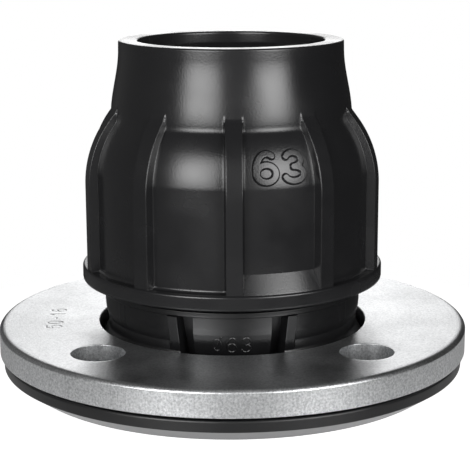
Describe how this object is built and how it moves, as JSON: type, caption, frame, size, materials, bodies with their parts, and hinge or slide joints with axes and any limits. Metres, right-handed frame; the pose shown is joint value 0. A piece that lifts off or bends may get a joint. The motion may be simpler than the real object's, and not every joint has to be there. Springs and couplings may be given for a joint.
{
  "type": "flange adaptor",
  "caption": "Compression flange adaptor: ribbed screw nut over a split grip ring, bush and seal clamps a plastic pipe to a moulded flange backed by a loose steel ring.",
  "frame": {"origin": "centre of the sealing face under the flange", "axes": "+Z along the pipe axis from the sealing face to the nut's mouth, -Y through the marked panel between two bolt holes"},
  "size_m": [0.165, 0.165, 0.1179],
  "materials": {
    "body_plastic": "moulded black polypropylene",
    "galvanised_steel": "hot-dip zinc coating, dull bright",
    "seal_rubber": "moulded nitrile rubber",
    "bush_plastic": "moulded polypropylene",
    "grip_plastic": "moulded natural acetal",
    "nut_plastic": "moulded black polypropylene, satin"
  },
  "bodies": {
    "body": {"fitting_body": "body_plastic", "o_ring_seal": "seal_rubber", "thrust_bush": "bush_plastic"},
    "ring": {"backing_flange": "galvanised_steel"},
    "grip": {"grip_ring": "grip_plastic"},
    "nut": {"compression_nut": "nut_plastic"}
  },
  "joints": [
    {"name": "grip_lift", "type": "slide", "parent": "body", "child": "grip", "axis": [0, 0, 1], "range_m": [0, 0.0151]},
    {"name": "nut_turn", "type": "hinge", "parent": "grip", "child": "nut", "pos_m": [0, 0, 0.06], "axis": [0, 0, 1], "range_deg": [0, 900]},
    {"name": "ring_swivel", "type": "hinge", "parent": "body", "child": "ring", "pos_m": [0, 0, 0.014], "axis": [0, 0, 1], "continuous": true}
  ],
  "couplings": [
    {"joint": "grip_lift", "follows": "nut_turn", "m_per_rad": 0.00095493}
  ]
}
